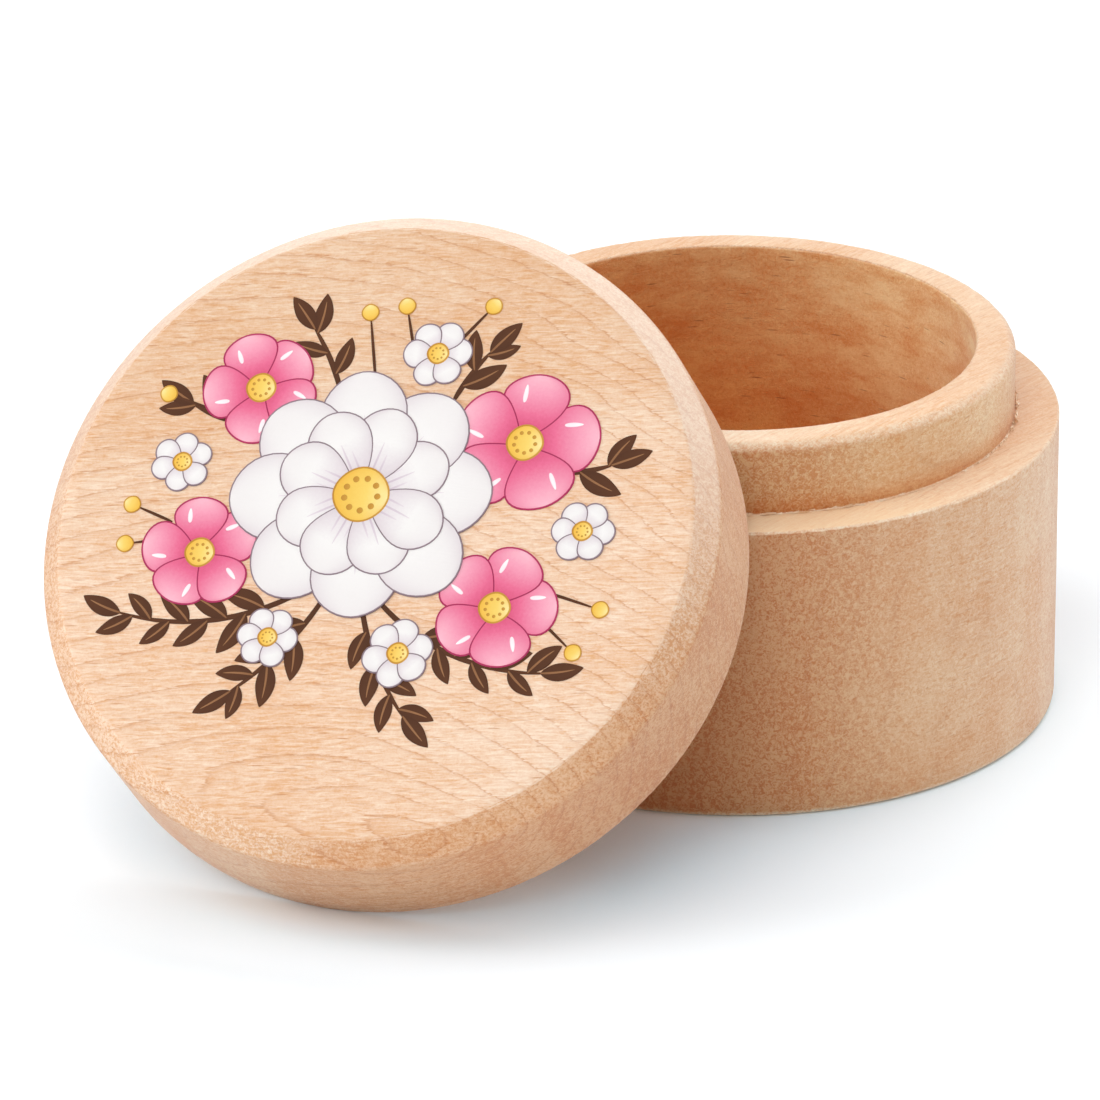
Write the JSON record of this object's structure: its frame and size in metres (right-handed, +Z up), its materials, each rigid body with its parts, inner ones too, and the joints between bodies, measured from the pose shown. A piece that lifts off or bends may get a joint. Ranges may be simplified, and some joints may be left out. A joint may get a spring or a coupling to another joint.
{
  "type": "baby tooth box",
  "caption": "Small round turned-wood keepsake box for milk teeth: a cup with a stepped spigot rim, and a thick push-on lid that lies off and leans against it.",
  "frame": {"origin": "centre of the base's flat underside", "axes": "+Z up along the base's turning axis; X along the leaning lid's level direction; the lid stands at -Y and leans towards +Y"},
  "size_m": [0.0634, 0.0777, 0.0424],
  "materials": {
    "base_wood": "turned and fine-sanded, bare",
    "lid_wood": "turned and fine-sanded, bare",
    "print_ink": "thin cured printing ink in several colours"
  },
  "bodies": {
    "base": {"box_base": "base_wood"},
    "lid": {"lid": "lid_wood"}
  },
  "joints": [
    {"name": "lid_lift", "type": "slide", "parent": "base", "child": "lid", "axis": [0, -0.7242, 0.6896], "range_m": [0, 0.05]}
  ]
}
